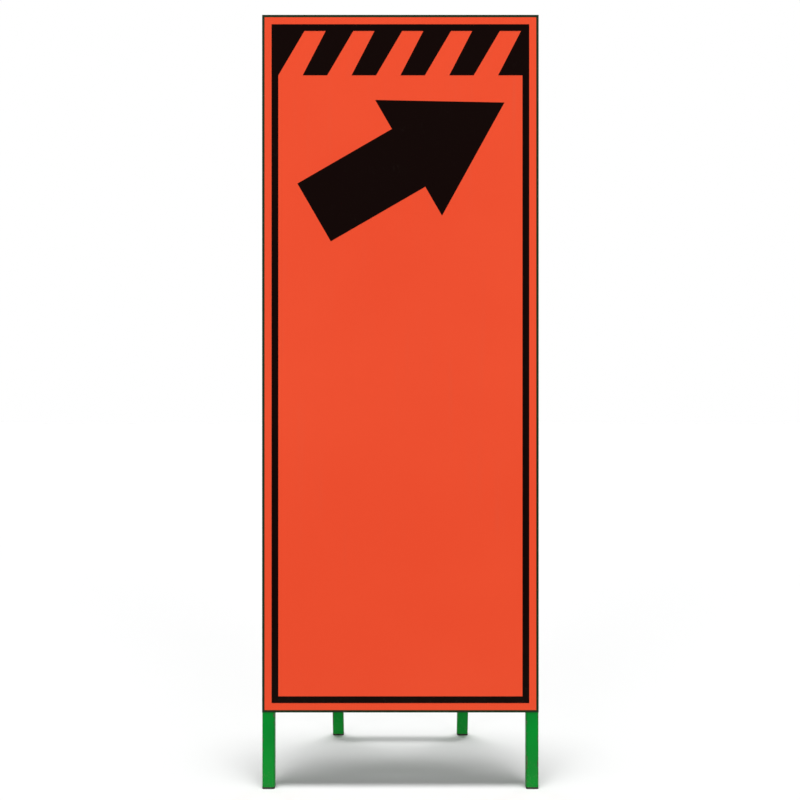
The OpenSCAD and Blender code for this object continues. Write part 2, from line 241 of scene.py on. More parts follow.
def noise(tree, place, scale, detail=3.0):
    """Smooth random values from 0 to 1, with a scale in bumps per metre."""
    node = put(tree, "ShaderNodeTexNoise")
    feed(tree, node.inputs["Vector"], place)
    feed(tree, node.inputs["Scale"], scale)
    feed(tree, node.inputs["Detail"], detail)
    return node.outputs["Fac"]


def drawn_noise(tree, place, scales, detail):
    """Noise that is drawn out into lines by a scale of its own along each axis."""
    return noise(tree, calc_vector(tree, "MULTIPLY", place, scales), scale=1.0, detail=detail)


def soft_patches(tree, place, scale, detail, low, high):
    """Patches of noise: 0 where it is under low and 1 where it is over high."""
    return soft_step(tree, noise(tree, place, scale, detail), low, high)


def tint(tree, share, first, second):
    """Goes from the first colour to the second."""
    node = put(tree, "ShaderNodeMix", data_type="RGBA")
    feed(tree, node.inputs[mix_share], share)
    feed(tree, node.inputs[mix_first], first)
    feed(tree, node.inputs[mix_second], second)
    return node.outputs[mix_colour]


def add_inputs(tree, inputs):
    """Gives a tree its named inputs, each of the kind of its plain value."""
    for label, value in inputs.items():
        kind = socket_kinds[type(value)]
        tree.interface.new_socket(label, in_out="INPUT", socket_type=kind).default_value = value


def tree_ends(tree):
    """What a tree is given, and what it has made."""
    return put(tree, "NodeGroupInput").outputs, put(tree, "NodeGroupOutput").inputs


# Groups of nodes that several finishes share

def new_group(name, inputs, outputs):
    """Starts a group with its named inputs and outputs."""
    group = bpy.data.node_groups.new(name, "ShaderNodeTree")
    add_inputs(group, inputs)
    for label in outputs:
        group.interface.new_socket(label, in_out="OUTPUT", socket_type="NodeSocketFloat")
    return group, *tree_ends(group)


def use(tree, name, **values):
    """Places a shared group; a value's key is its label with _ for each space."""
    node = put(tree, "ShaderNodeGroup")
    node.node_tree = bpy.data.node_groups[name]
    for key, value in values.items():
        feed(tree, node.inputs[key.replace("_", " ")], value)
    return node.outputs


def build_tone():
    """Slow drift of a coat's colour over a large piece, from 0 to 1."""
    group, given, made = new_group("tone_drift", {"Place": origin, "Patches": 6.0}, ["Tone"])
    drift = noise(group, given["Place"], given["Patches"])
    feed(group, made["Tone"], soft_step(group, drift, low=0.3, high=0.7))


def build_orange_peel():
    """Fine waves that sprayed enamel dries with."""
    group, given, made = new_group(
        "orange_peel", {"Place": origin, "Waves": 420.0, "Fineness": 3.0}, ["Height"])
    fine_waves = calc(group, "MULTIPLY", given["Waves"], given["Fineness"])
    coarse = noise(group, given["Place"], given["Waves"], detail=1.0)
    fine = noise(group, given["Place"], fine_waves, detail=1.0)
    feed(group, made["Height"], raised(group, coarse, fine, by=0.25))


def build_corner_chips():
    """Paint knocked off the round corners of a square tube that runs along its own Z."""
    group, given, made = new_group("corner_chips", {
        "Place": origin,
        "Wear Place": origin,
        "Half Width": half_tube,
        "Corner Radius": tube_corner_r,
        "Band": wear_band,
        "Amount": 0.3,
    }, ["Chipped"])
    place = split(group, given["Place"])
    out_x = calc(group, "ABSOLUTE", place["X"])
    out_y = calc(group, "ABSOLUTE", place["Y"])
    diagonal = calc(group, "MULTIPLY", calc(group, "ADD", out_x, out_y), math.sqrt(0.5))
    centre = calc(group, "SUBTRACT", given["Half Width"], given["Corner Radius"])
    tip = calc(group, "MULTIPLY_ADD", centre, math.sqrt(2), given["Corner Radius"])
    edge = soft_step(group, diagonal, calc(group, "SUBTRACT", tip, given["Band"]), tip)
    flakes = noise(group, given["Wear Place"], scale=190.0, detail=4.0)
    places = noise(group, given["Wear Place"], scale=17.0, detail=2.0)
    chance = all_of(group, flakes, places, edge)
    needed = between(group, given["Amount"], low=0.42, high=0.08)
    feed(group, made["Chipped"], soft_edge(group, chance, needed, width=0.03))


def build_hair_scratches():
    """Long fine scratches along the piece's own Z."""
    group, given, made = new_group("hair_scratches", {
        "Place": origin,
        "Across": 260.0,
        "Along": 9.0,
        "Amount": 0.3,
    }, ["Scratched"])
    scales = put(group, "ShaderNodeCombineXYZ")
    feed(group, scales.inputs["X"], given["Across"])
    feed(group, scales.inputs["Y"], given["Across"])
    feed(group, scales.inputs["Z"], given["Along"])
    hairs = drawn_noise(group, given["Place"], scales.outputs["Vector"], detail=2.0)
    off_line = apart(group, hairs, noise_middle)
    line = opposite(group, soft_step(group, off_line, low=0.002, high=0.008))
    fields = soft_patches(group, given["Place"], scale=23.0, detail=2.0, low=0.55, high=0.75)
    feed(group, made["Scratched"], all_of(group, fields, given["Amount"], line))


def build_settled_dust():
    """Dust on what faces up."""
    group, given, made = new_group("settled_dust", {"Place": origin, "Amount": 0.5}, ["Dusty"])
    up = soft_step(group, facing(group)["Z"], low=0.35, high=0.95)
    uneven = noise(group, given["Place"], scale=70.0, detail=5.0)
    drifts = between(group, uneven, low=0.35, high=1.0)
    feed(group, made["Dusty"], all_of(group, up, drifts, given["Amount"]))


def build_road_splash():
    """Dried mud specks that thin out upwards from the ground, on a place whose Z is its height."""
    group, given, made = new_group(
        "road_splash", {"Place": origin, "Top": frame_splash_top, "Amount": 0.5}, ["Splashed"])
    height = calc(group, "DIVIDE", split(group, given["Place"])["Z"], given["Top"])
    near = opposite(group, soft_step(group, height, low=0.0, high=1.0))
    specks = noise(group, given["Place"], scale=240.0, detail=4.0)
    needed = between(group, near, low=0.78, high=0.52)
    smears = noise(group, given["Place"], scale=40.0, detail=4.0)
    mud_film = all_of(group, near, between(group, smears, low=0.1, high=0.5))
    mud = either(group, soft_edge(group, specks, needed, width=0.06), mud_film)
    feed(group, made["Splashed"], calc(group, "MULTIPLY", mud, given["Amount"]))


def build_rain_streaks():
    """Faint runs of dirt that rain has drawn down an upright sheet."""
    group, given, made = new_group("rain_streaks", {"Place": origin, "Amount": 0.3}, ["Streaked"])
    runs = drawn_noise(group, given["Place"], (95.0, 95.0, 2.4), detail=4.0)
    streaks = soft_step(group, runs, low=0.5, high=0.8)
    fields = soft_patches(group, given["Place"], scale=4.0, detail=2.0, low=0.4, high=0.7)
    feed(group, made["Streaked"], all_of(group, streaks, fields, given["Amount"]))


def build_honeycomb():
    """Walls of six-sided cells in the XZ plane, where three waves a third of a turn apart run low."""
    group, given, made = new_group(
        "honeycomb_cells", {"Place": origin, "Cell": cell_size}, ["Wall", "Dome"])
    pitch = calc(group, "DIVIDE", 4 * math.pi / math.sqrt(3), given["Cell"])
    total = 0.0
    for turn in (0, 120, 240):
        angle = math.radians(turn)
        direction = (math.cos(angle), 0, math.sin(angle))
        along = calc_vector(group, "DOT_PRODUCT", given["Place"], direction)
        wave = calc(group, "COSINE", calc(group, "MULTIPLY", along, pitch))
        total = calc(group, "ADD", total, wave)
    feed(group, made["Wall"], opposite(group, soft_step(group, total, low=-1.1, high=-0.55)))
    feed(group, made["Dome"], soft_step(group, total, low=-1.0, high=3.0))


def build_groups():
    """All the shared groups."""
    build_tone()
    build_orange_peel()
    build_corner_chips()
    build_hair_scratches()
    build_settled_dust()
    build_road_splash()
    build_rain_streaks()
    build_honeycomb()


# Finishes

def emptied_tree(owner):
    """The tree of a material or of the world, with no nodes in it yet."""
    owner.use_nodes = True
    owner.node_tree.nodes.clear()
    return owner.node_tree


def new_finish(name):
    """A material with its shader, and the place on the piece in metres."""
    material = bpy.data.materials.new(name)
    tree = emptied_tree(material)
    shader = put(tree, "ShaderNodeBsdfPrincipled")
    feed(tree, put(tree, "ShaderNodeOutputMaterial").inputs["Surface"], shader.outputs["BSDF"])
    return material, tree, shader, put(tree, "ShaderNodeTexCoord").outputs["Object"]


def centred(tree, place, centre, turn):
    """The place as seen from a piece's own centre, with the piece turned upright."""
    node = put(tree, "ShaderNodeMapping", vector_type="TEXTURE")
    feed(tree, node.inputs["Vector"], place)
    feed(tree, node.inputs["Location"], centre)
    feed(tree, node.inputs["Rotation"], turn)
    return node.outputs["Vector"]


def lay_coat(tree, shader, colour, rough, relief, depth, gloss=0.5):
    """Gives the shader its colour, roughness and relief, which is as deep as depth.

    Gloss is the specular level. Coats have a low one, since the studio that they mirror is white.
    """
    feed(tree, shader.inputs["Base Color"], colour)
    feed(tree, shader.inputs["Roughness"], rough)
    feed(tree, shader.inputs["Specular IOR Level"], gloss)
    bump = put(tree, "ShaderNodeBump")
    feed(tree, bump.inputs["Distance"], depth)
    feed(tree, bump.inputs["Height"], relief)
    feed(tree, shader.inputs["Normal"], bump.outputs["Normal"])


def enamel(tree, shader, place, own_place, chips, rubbed, colour, dull_colour):
    """Sprayed enamel: drifting in tone, chipped, rubbed dull, dusty on top and splashed low down."""
    tone = use(tree, "tone_drift", Place=place, Patches=7.0)["Tone"]
    dust = use(tree, "settled_dust", Place=place, Amount=0.16)["Dusty"]
    splash = use(tree, "road_splash", Place=place, Amount=0.1)["Splashed"]
    peel = use(tree, "orange_peel", Place=own_place)["Height"]
    dirt = either(tree, dust, splash)
    paint = tint(tree, tone, colour, dull_colour)
    scuffed = tint(tree, weaker(tree, rubbed, share=0.35), paint, road_dust)
    dirty = tint(tree, dirt, scuffed, road_dust)
    rust = soft_patches(tree, own_place, scale=320.0, detail=2.0, low=0.42, high=0.62)
    steel = tint(tree, rust, bare_steel, rust_brown)
    rough = raised(tree, between(tree, tone, low=0.3, high=0.4), dirt, by=0.45)
    feed(tree, shader.inputs["Metallic"], weaker(tree, chips, share=0.4))
    lay_coat(tree, shader,
             colour=tint(tree, chips, dirty, steel),
             rough=raised(tree, rough, rubbed, by=0.2),
             relief=raised(tree, peel, chips, by=-1.5),
             depth=0.00012,
             gloss=0.05)


def tube_finish(name, centre, turn):
    """Green enamel on one tube, worn along its own corners and length as no other tube is."""
    material, tree, shader, place = new_finish("green_enamel_" + name)
    own_place = centred(tree, place, centre, turn)
    wear_place = calc_vector(tree, "ADD", own_place, centre)
    chips = use(tree, "corner_chips", Place=own_place, Wear_Place=wear_place, Amount=0.36)["Chipped"]
    rubbed = use(tree, "hair_scratches", Place=wear_place, Amount=0.6)["Scratched"]
    enamel(tree, shader, place, own_place, chips, rubbed, green_paint, green_paint_dull)
    return material


def bracket_finish(stop_r):
    """Green enamel that the stop bolt's washers have rubbed in an arc round the pivot."""
    material, tree, shader, place = new_finish("green_enamel_bracket")
    own_place = centred(tree, place, pivot, upright)
    side = split(tree, own_place)
    squares = [calc(tree, "POWER", side[axis], 2.0) for axis in ("Y", "Z")]
    from_pivot = calc(tree, "SQRT", calc(tree, "ADD", *squares))
    off_track = apart(tree, from_pivot, stop_r)
    track = opposite(tree, soft_step(tree, off_track, low=0.8 * washer_r, high=washer_r))
    flat = soft_step(tree, calc(tree, "ABSOLUTE", facing(tree)["X"]), low=0.9, high=0.99)
    rings = drawn_noise(tree, from_pivot, (1900.0, 0.0, 0.0), detail=2.0)
    broken_rings = all_of(tree, rings, noise(tree, own_place, scale=60.0))
    worn = soft_step(tree, broken_rings, low=0.22, high=0.36)
    bare = weaker(tree, all_of(tree, track, flat, worn), share=0.8)
    rubbed = use(tree, "hair_scratches", Place=own_place, Amount=0.8)["Scratched"]
    enamel(tree, shader, place, own_place, bare, rubbed, green_paint, green_paint_dull)
    return material


def weld_finish():
    """Enamel on weld metal: darker than on the tubes, worn thin in specks and rubbed in patches."""
    material, tree, shader, place = new_finish("green_enamel_weld")
    specks = soft_patches(tree, place, scale=520.0, detail=3.0, low=0.62, high=0.72)
    rubbed = soft_patches(tree, place, scale=90.0, detail=3.0, low=0.5, high=0.8)
    thin = weaker(tree, specks, share=0.5)
    enamel(tree, shader, place, place, thin, rubbed, weld_green, weld_green_dull)
    return material


def backing_finish():
    """Dark green coil-coated sheet: fine roller lines, drifting tone, dried rain and splashes."""
    material, tree, shader, place = new_finish("dark_green_enamel")
    tone = use(tree, "tone_drift", Place=place, Patches=3.0)["Tone"]
    streaks = use(tree, "rain_streaks", Place=place, Amount=0.1)["Streaked"]
    splash = use(tree, "road_splash", Place=place, Top=backing_splash_top, Amount=0.1)["Splashed"]
    dirt = either(tree, streaks, splash)
    lines = drawn_noise(tree, place, (700.0, 700.0, 5.0), detail=2.0)
    paint = tint(tree, tone, dark_green_paint, dark_green_faded)
    lined = tint(tree, weaker(tree, lines, share=0.3), paint, roller_line_green)
    rough = raised(tree, between(tree, tone, low=0.38, high=0.5), dirt, by=0.4)
    lay_coat(tree, shader, tint(tree, dirt, lined, road_dust), rough, lines, depth=0.00003, gloss=0.06)
    return material


def sheeting_finish():
    """Orange retroreflective sheeting: six-sided cells, faint streaks and hairs, splashed low down."""
    material, tree, shader, place = new_finish("orange_sheeting")
    cells = use(tree, "honeycomb_cells", Place=place)
    tone = use(tree, "tone_drift", Place=place, Patches=2.5)["Tone"]
    streaks = use(tree, "rain_streaks", Place=place, Amount=0.05)["Streaked"]
    splash = use(tree, "road_splash", Place=place, Top=face_splash_top, Amount=0.06)["Splashed"]
    hairs = use(tree, "hair_scratches", Place=place, Across=180.0, Along=30.0, Amount=0.25)
    scratched = hairs["Scratched"]
    dirt = either(tree, streaks, splash)
    sheeting = tint(tree, tone, sheeting_orange, sheeting_faded)
    celled = tint(tree, weaker(tree, cells["Wall"], share=0.5), sheeting, cell_wall_orange)
    rough = raised(tree, between(tree, cells["Wall"], low=0.42, high=0.55), dirt, by=0.4)
    lay_coat(tree, shader,
             colour=tint(tree, dirt, celled, road_dust),
             rough=raised(tree, rough, scratched, by=0.3),
             relief=raised(tree, cells["Dome"], scratched, by=-0.6),
             depth=0.00004,
             gloss=0.05)
    return material


def film_finish():
    """Black cut film, satin: a faint grain, squeegee rubs, and splashes low down."""
    material, tree, shader, place = new_finish("black_film")
    tone = use(tree, "tone_drift", Place=place, Patches=5.0)["Tone"]
    rubs = use(tree, "hair_scratches", Place=place, Across=150.0, Along=20.0, Amount=0.5)
    splash = use(tree, "road_splash", Place=place, Top=face_splash_top, Amount=0.05)["Splashed"]
    grain = noise(tree, place, scale=900.0, detail=2.0)
    film = tint(tree, weaker(tree, tone, share=0.25), film_black, film_faded)
    rubbed = tint(tree, weaker(tree, rubs["Scratched"], share=0.5), film, film_rubbed)
    rough = raised(tree, between(tree, tone, low=0.5, high=0.62), splash, by=0.3)
    lay_coat(tree, shader, tint(tree, splash, rubbed, road_dust), rough, grain,
             depth=0.00003, gloss=0.015)
    return material


def foot_finish():
    """Moulded black plastic: a fine spark grain, scuffs, and dirt on top and near the ground."""
    material, tree, shader, place = new_finish("black_plastic")
    spark_grain = noise(tree, place, scale=1500.0, detail=2.0)
    rubs = drawn_noise(tree, place, (300.0, 300.0, 900.0), detail=4.0)
    scuffs = soft_step(tree, rubs, low=0.52, high=0.7)
    splash = use(tree, "road_splash", Place=place, Top=foot_splash_top, Amount=0.35)["Splashed"]
    dust = use(tree, "settled_dust", Place=place, Amount=0.5)["Dusty"]
    dirt = weaker(tree, either(tree, splash, dust), share=0.6)
    scuffed = tint(tree, weaker(tree, scuffs, share=0.35), plastic_black, plastic_scuffed)
    rough = between(tree, scuffs, low=0.5, high=0.75)
    lay_coat(tree, shader, tint(tree, dirt, scuffed, road_dust), rough, spark_grain,
             depth=0.00006, gloss=0.15)
    return material


def zinc_finish():
    """Bright zinc plate: clouded, warm in patches, with rust starting here and there."""
    material, tree, shader, place = new_finish("zinc_plate")
    clouds = noise(tree, place, scale=130.0, detail=4.0)
    pits = noise(tree, place, scale=700.0, detail=3.0)
    warm = soft_patches(tree, place, scale=60.0, detail=2.0, low=0.45, high=0.7)
    rust = soft_patches(tree, place, scale=260.0, detail=5.0, low=0.66, high=0.74)
    plate = tint(tree, weaker(tree, warm, share=0.6), zinc_bright, zinc_warm)
    clouded = tint(tree, weaker(tree, clouds, share=0.35), plate, zinc_clouded)
    colour = tint(tree, weaker(tree, rust, share=0.6), clouded, rust_brown)
    rough = raised(tree, between(tree, clouds, low=0.22, high=0.5), rust, by=0.3)
    feed(tree, shader.inputs["Metallic"], between(tree, rust, low=1.0, high=0.3))
    lay_coat(tree, shader, colour, rough, pits, depth=0.00005)
    return material


def nylon_finish():
    """Natural nylon, finely marked, with a little grease."""
    material, tree, shader, place = new_finish("natural_nylon")
    marks = noise(tree, place, scale=1300.0, detail=2.0)
    greasy = soft_patches(tree, place, scale=110.0, detail=3.0, low=0.5, high=0.75)
    colour = tint(tree, weaker(tree, greasy, share=0.5), nylon_white, nylon_greasy)
    rough = between(tree, greasy, low=0.55, high=0.3)
    lay_coat(tree, shader, colour, rough, marks, depth=0.00004)
    return material


# Pieces that repeat or follow a path, grown by trees of geometry nodes

def new_geometry_tree(name, inputs):
    """Starts a tree that takes geometry, named values and a finish, and gives geometry."""
    tree = bpy.data.node_groups.new(name, "GeometryNodeTree")
    tree.interface.new_socket("Geometry", in_out="INPUT", socket_type="NodeSocketGeometry")
    add_inputs(tree, inputs)
    tree.interface.new_socket("Finish", in_out="INPUT", socket_type="NodeSocketMaterial")
    tree.interface.new_socket("Geometry", in_out="OUTPUT", socket_type="NodeSocketGeometry")
    return tree, *tree_ends(tree)


def sweep(tree, path, section, scale):
    """A capped mesh with one section along the whole path, thicker or thinner by the scale."""
    node = put(tree, "GeometryNodeCurveToMesh")
    feed(tree, node.inputs["Curve"], path)
    feed(tree, node.inputs["Profile Curve"], section)
    feed(tree, node.inputs["Scale"], scale)
    feed(tree, node.inputs["Fill Caps"], True)
    return node.outputs["Mesh"]


def ring(tree, sides, radius):
    """A many-sided section of a given radius."""
    node = put(tree, "GeometryNodeCurvePrimitiveCircle")
    feed(tree, node.inputs["Resolution"], sides)
    feed(tree, node.inputs["Radius"], radius)
    return node.outputs["Curve"]


def close_tree(tree, geometry, finish, made, smooth):
    """Ends a tree: one real mesh in its finish, shaded smooth or flat."""
    real = put_and_feed(tree, "GeometryNodeRealizeInstances", geometry).outputs["Geometry"]
    shaded = put_and_feed(tree, "GeometryNodeSetShadeSmooth", real)
    feed(tree, shaded.inputs["Shade Smooth"], smooth)
    painted = put_and_feed(tree, "GeometryNodeSetMaterial", shaded.outputs["Geometry"])
    feed(tree, painted.inputs["Material"], finish)
    feed(tree, made["Geometry"], painted.outputs["Geometry"])


def bead_swell(tree, given):
    """How thick a bead is along its path: scalloped step by step, unsteady, and thin at its ends."""
    run = put(tree, "GeometryNodeSplineParameter").outputs["Length"]
    whole = put(tree, "GeometryNodeSplineLength").outputs["Length"]
    step = calc(tree, "FRACT", calc(tree, "DIVIDE", run, given["Ripple"]))
    scallop = calc(tree, "MULTIPLY", calc(tree, "POWER", step, 2.0), given["Ripple Depth"])
    unsteady = put(tree, "ShaderNodeTexNoise", noise_dimensions="4D")
    feed(tree, unsteady.inputs["Vector"], put(tree, "GeometryNodeInputPosition").outputs["Position"])
    feed(tree, unsteady.inputs["W"], given["Seed"])
    feed(tree, unsteady.inputs["Scale"], unsteady_scale)
    width = between(tree, unsteady.outputs["Fac"], low=0.82, high=1.18)
    to_end = calc(tree, "MINIMUM", run, calc(tree, "SUBTRACT", whole, run))
    inner = soft_step(tree, to_end, 0.0, given["Radius"])
    return all_of(tree, width, raised(tree, thin_end, inner, by=1 - thin_end), opposite(tree, scallop))


def build_weld_tree():
    """Sweeps a round bead along each path."""
    tree, given, made = new_geometry_tree("weld_bead", {
        "Radius": bead_r,
        "Ripple": bead_ripple,
        "Ripple Depth": ripple_depth,
        "Sides": bead_sides,
        "Seed": weld_seed,
    })
    path = put_and_feed(tree, "GeometryNodeMeshToCurve", given["Geometry"]).outputs["Curve"]
    stepped = put(tree, "GeometryNodeResampleCurve", mode="LENGTH")
    feed(tree, stepped.inputs["Curve"], path)
    feed(tree, stepped.inputs["Length"], calc(tree, "DIVIDE", given["Ripple"], ripple_steps))
    section = ring(tree, given["Sides"], given["Radius"])
    bead = sweep(tree, stepped.outputs["Curve"], section, bead_swell(tree, given))
    close_tree(tree, bead, given["Finish"], made, smooth=True)
    return tree


def thread_helix(tree, given):
    """Path of one thread, which runs up along Z, with its section kept square to the bolt."""
    coil = put(tree, "GeometryNodeCurveSpiral")
    feed(tree, coil.inputs["Resolution"], thread_turn_steps)
    feed(tree, coil.inputs["Rotations"], calc(tree, "DIVIDE", given["Length"], given["Pitch"]))
    feed(tree, coil.inputs["Start Radius"], given["Radius"])
    feed(tree, coil.inputs["End Radius"], given["Radius"])
    feed(tree, coil.inputs["Height"], given["Length"])
    squared = put(tree, "GeometryNodeSetCurveNormal", mode="Z_UP")
    feed(tree, squared.inputs["Curve"], coil.outputs["Curve"])
    return squared.outputs["Curve"]


def build_thread_tree():
    """Winds one V thread along X from every point it is given, run out at both ends."""
    tree, given, made = new_geometry_tree("bolt_thread", {
        "Radius": 0.005,
        "Pitch": pivot_thread_pitch,
        "Length": 0.0025,
        "Depth": thread_depth,
    })
    share = put(tree, "GeometryNodeSplineParameter").outputs["Factor"]
    to_end = calc(tree, "MINIMUM", share, opposite(tree, share))
    run_out = between(tree, soft_step(tree, to_end, low=0.0, high=0.1), low=0.15, high=1.0)
    crest = ring(tree, thread_sides, given["Depth"])
    laid = put(tree, "GeometryNodeTransform")
    feed(tree, laid.inputs["Geometry"], sweep(tree, thread_helix(tree, given), crest, run_out))
    feed(tree, laid.inputs["Rotation"], level)
    each = put(tree, "GeometryNodeInstanceOnPoints")
    feed(tree, each.inputs["Points"], given["Geometry"])
    feed(tree, each.inputs["Instance"], laid.outputs["Geometry"])
    close_tree(tree, each.outputs["Instances"], given["Finish"], made, smooth=False)
    return tree


def path_mesh(name, paths):
    """One mesh with a line of edges for each path; paths are (points, closed)."""
    points = []
    edges = []
    for path, closed in paths:
        first = len(points)
        points.extend(path)
        last = len(points) - 1
        edges.extend((i, i + 1) for i in range(first, last))
        if closed:
            edges.append((last, first))
    mesh = bpy.data.meshes.new(name)
    mesh.from_pydata(points, edges, [])
    return mesh


def show(name, data):
    """Puts a mesh, camera or lamp into the scene."""
    item = bpy.data.objects.new(name, data)
    bpy.context.scene.collection.objects.link(item)
    return item


def grow(name, seed_mesh, tree, values, body):
    """Runs a geometry tree on a seed mesh and keeps the result as a plain piece on a body."""
    seed = show(name + "_seed", seed_mesh)
    modifier = seed.modifiers.new("grow", "NODES")
    modifier.node_group = tree
    for item in tree.interface.items_tree:
        if item.item_type == "SOCKET" and item.in_out == "INPUT" and item.name in values:
            modifier[item.identifier] = values[item.name]
    grown = seed.evaluated_get(bpy.context.evaluated_depsgraph_get())
    mesh = bpy.data.meshes.new_from_object(grown)
    mesh.name = name
    seed.modifiers.remove(modifier)
    bpy.data.objects.remove(seed)
    piece = show(name, mesh)
    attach(piece, body)


# Paths of the weld beads

def middle(node):
    """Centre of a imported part's box."""
    low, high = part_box(node)
    return (low + high) / 2


def arc_angles(start, stop):
    """Angles along an arc that is given in degrees, or the one angle where it starts and stops."""
    if start == stop:
        return [math.radians(start)]
    return [math.radians(start + (stop - start) * step / arc_steps) for step in range(arc_steps + 1)]


def tube_end_bead(centre, turn, face_x, side, corners):
    """Path round a tube's end on another tube, dipping into the grooves at that tube's round corners.

    A corner is given as its side across and along, and the degrees at which its arc starts and stops.
    """
    flat = half_tube - tube_corner_r
    path = []
    for across, along, start, stop in corners:
        for angle in arc_angles(start, stop):
            dip = 1 - abs(math.sin(angle))
            out = tube_corner_r + bead_lift * (1 - dip) - groove_dip * dip
            deep = tube_corner_r * dip / 2 - bead_lift * (1 - dip)
            place = Vector((side * (face_x + deep),
                            across * flat + out * math.cos(angle),
                            along * flat + out * math.sin(angle)))
            path.append(centre + turn @ place)
    return path


def rail_beads():
    """The rails' ends on the posts: above, behind and below, since the sheet covers the front."""
    three_sides = [(-1, 1, 90, 90), (1, 1, 90, 0), (1, -1, 0, -90), (-1, -1, -90, -90)]
    face_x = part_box("right_post")[0].x
    paths = []
    for rail in ("bottom_rail", "middle_rail", "hinge_rail"):
        for side in (-1, 1):
            path = tube_end_bead(middle(rail), Matrix.Identity(3), face_x, side, three_sides)
            paths.append((path, False))
    return paths


def mitre_beads():
    """The top corners: a bead up the mitre at the back and one inside the corner."""
    low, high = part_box("top_rail")
    inner_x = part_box("right_post")[0].x
    outer_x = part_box("right_post")[1].x
    behind = high.y - mitre_sink
    paths = []
    for side in (-1, 1):
        start = Vector((side * (inner_x + tube_corner_r / 2), behind, low.z + tube_corner_r / 2))
        stop = Vector((side * (outer_x - tube_corner_r), behind, high.z - tube_corner_r))
        paths.append(([start, stop], False))
        inner = Vector((side * (inner_x - bead_lift), low.y + tube_corner_r, low.z - bead_lift))
        back = Vector((inner.x, high.y - tube_corner_r, inner.z))
        paths.append(([inner, back, start], False))
    return paths


def bracket_beads():
    """Each bracket's web on the hinge rail: both upright edges and the grooves above and below."""
    rail_low, rail_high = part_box("hinge_rail")
    paths = []
    for bracket in ("left_hinge_bracket", "right_hinge_bracket"):
        low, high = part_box(bracket)
        for x in (low.x + bend_groove, high.x - bend_groove):
            path = [Vector((x, rail_high.y + bead_r / 2, z))
                    for z in (rail_low.z + tube_corner_r, rail_high.z - tube_corner_r)]
            paths.append((path, False))
        for z in (rail_low.z + groove_dip, rail_high.z - groove_dip):
            path = [Vector((x, rail_high.y - groove_dip, z))
                    for x in (low.x + tube_corner_r, high.x - tube_corner_r)]
            paths.append((path, False))
    return paths


def cross_bar_beads():
    """The cross bars' ends on the rear legs, all the way round."""
    all_sides = [(1, 1, 0, 90), (-1, 1, 90, 180), (-1, -1, 180, 270), (1, -1, 270, 360)]
    face_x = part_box("right_rear_leg")[0].x
    paths = []
    for bar in ("upper_cross_bar", "lower_cross_bar"):
        for side in (-1, 1):
            path = tube_end_bead(middle(bar), lean.to_matrix(), face_x, side, all_sides)
            paths.append((path, True))
    return paths


def weld_frames():
    """The beads of the front frame and of the rear frame."""
    tree = build_weld_tree()
    values = {"Finish": weld_finish()}
    front = path_mesh("front_weld_paths", rail_beads() + mitre_beads() + bracket_beads())
    grow("front_frame_welds", front, tree, values, "front_frame")
    rear = path_mesh("rear_weld_paths", cross_bar_beads())
    grow("rear_frame_welds", rear, tree, values, "rear_frame")


# Threads of the bolts

def nearest_to_middle(node):
    """How near a pair of pieces comes to the middle of the sign."""
    return min(abs(vertex.co.x) for vertex in frame["nodes"][node].data.vertices)


def tail_radius(node, tail, place):
    """Radius of the bolts at their tails."""
    points = [vertex.co for vertex in frame["nodes"][node].data.vertices]
    ends = [point for point in points if abs(abs(point.x) - tail) < tail_margin]
    return max(math.hypot(point.y - place.y, point.z - place.z) for point in ends)


def thread_bolts(zinc):
    """Threads on the bolts' tails, which show past the nuts on the inner sides of the legs."""
    tree = build_thread_tree()
    for bolts, nuts, body, pitch in (
            ("pivot_bolts", "pivot_nuts", "front_frame", pivot_thread_pitch),
            ("stop_bolts", "stop_nuts", "rear_frame", stop_thread_pitch)):
        place = middle(bolts)
        tail = nearest_to_middle(bolts)
        collar = nearest_to_middle(nuts)
        starts = [Vector((x, place.y, place.z)) for x in (tail + thread_inset, -collar)]
        values = {
            "Radius": tail_radius(bolts, tail, place),
            "Pitch": pitch,
            "Length": collar - tail - thread_inset,
            "Finish": zinc,
        }
        seeds = path_mesh(bolts + "_tails", [([point], False) for point in starts])
        grow(bolts[:-1] + "_threads", seeds, tree, values, body)


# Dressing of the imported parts

def dress(material, *nodes):
    """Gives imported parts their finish."""
    for node in nodes:
        for slot in frame["nodes"][node].material_slots:
            slot.material = material


def dress_tubes():
    """Each tube has a finish of its own, because its wear follows its own corners and length."""
    leaned_level = (lean.to_matrix() @ level.to_matrix()).to_euler()
    turns = {
        "left_post": upright, "right_post": upright,
        "top_rail": level, "hinge_rail": level, "middle_rail": level, "bottom_rail": level,
        "left_rear_leg": lean, "right_rear_leg": lean,
        "upper_cross_bar": leaned_level, "lower_cross_bar": leaned_level,
    }
    for node, turn in turns.items():
        dress(tube_finish(node, middle(node), turn), node)


def dress_parts(zinc):
    """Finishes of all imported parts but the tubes."""
    stop_r = math.hypot(*(middle("stop_bolts") - pivot).yz)
    dress(backing_finish(), "panel_sheet")
    dress(sheeting_finish(), "orange_sheeting")
    dress(film_finish(), "border_line", "hazard_stripes", "direction_arrow")
    dress(foot_finish(), "left_front_foot", "right_front_foot", "left_rear_foot", "right_rear_foot",
          "left_leg_plug", "right_leg_plug")
    dress(bracket_finish(stop_r), "left_hinge_bracket", "right_hinge_bracket")
    dress(zinc, "panel_rivets", "pivot_bolts", "pivot_nuts", "pivot_washers", "pivot_bushes",
          "stop_sleeves", "stop_bolts", "stop_nuts", "stop_washers")
    dress(nylon_finish(), "hinge_spacers")


# Studio

